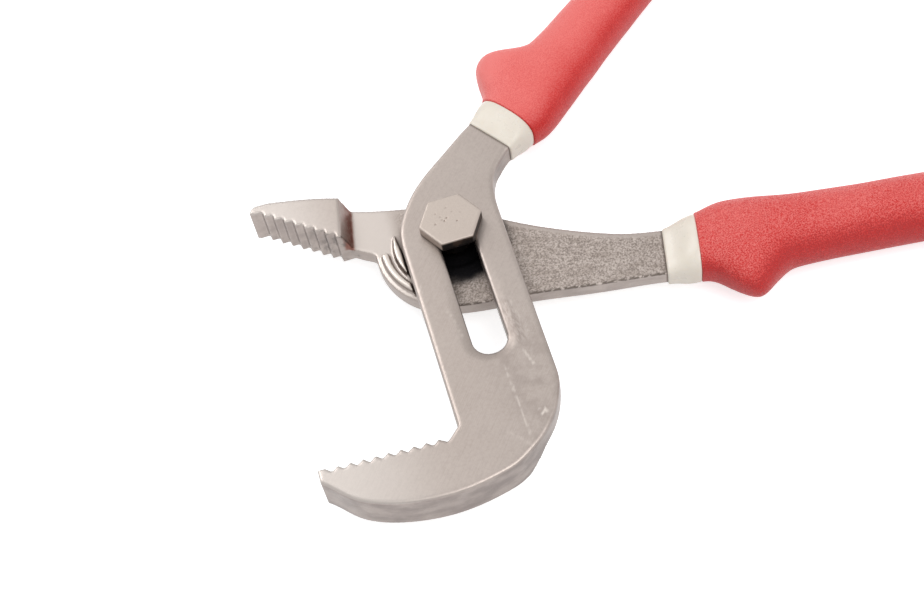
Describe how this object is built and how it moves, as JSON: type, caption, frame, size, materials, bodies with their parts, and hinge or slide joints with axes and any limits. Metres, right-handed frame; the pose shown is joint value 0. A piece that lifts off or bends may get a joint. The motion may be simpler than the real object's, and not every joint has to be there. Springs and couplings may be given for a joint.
{
  "type": "tongue and groove pliers",
  "caption": "Slip-joint pliers with offset serrated jaws, a slotted arm with arc grooves, a hex-headed pivot bolt and dipped grips with thumb guards.",
  "frame": {"origin": "on the pivot bolt's axis, at the bolt's end face, with the bolt at the top of its slot", "axes": "+Z along the bolt towards its head; the slot runs along -Y; the jaws lie towards -X and the handles towards +X"},
  "size_m": [0.2366, 0.1924, 0.0183],
  "materials": {
    "slotted_handle_steel": "satin",
    "tongue_handle_steel": "satin",
    "bolt_steel": "satin",
    "collar_plastic": "gloss",
    "grip_vinyl": "satin"
  },
  "bodies": {
    "slotted_handle": {"slotted_handle": "slotted_handle_steel", "slotted_handle_collar": "collar_plastic", "slotted_handle_grip": "grip_vinyl"},
    "pivot": {"pivot_bolt": "bolt_steel", "pivot_washer": "bolt_steel", "pivot_nut": "bolt_steel"},
    "tongue_handle": {"tongue_handle": "tongue_handle_steel", "tongue_handle_collar": "collar_plastic", "tongue_handle_grip": "grip_vinyl"}
  },
  "joints": [
    {"name": "setting_slide", "type": "slide", "parent": "slotted_handle", "child": "pivot", "axis": [0, -1, 0], "range_m": [0, 0.035]},
    {"name": "jaw_hinge", "type": "hinge", "parent": "pivot", "child": "tongue_handle", "pos_m": [0, 0, 0], "axis": [0, 0, 1], "range_deg": [-5, 46]}
  ]
}
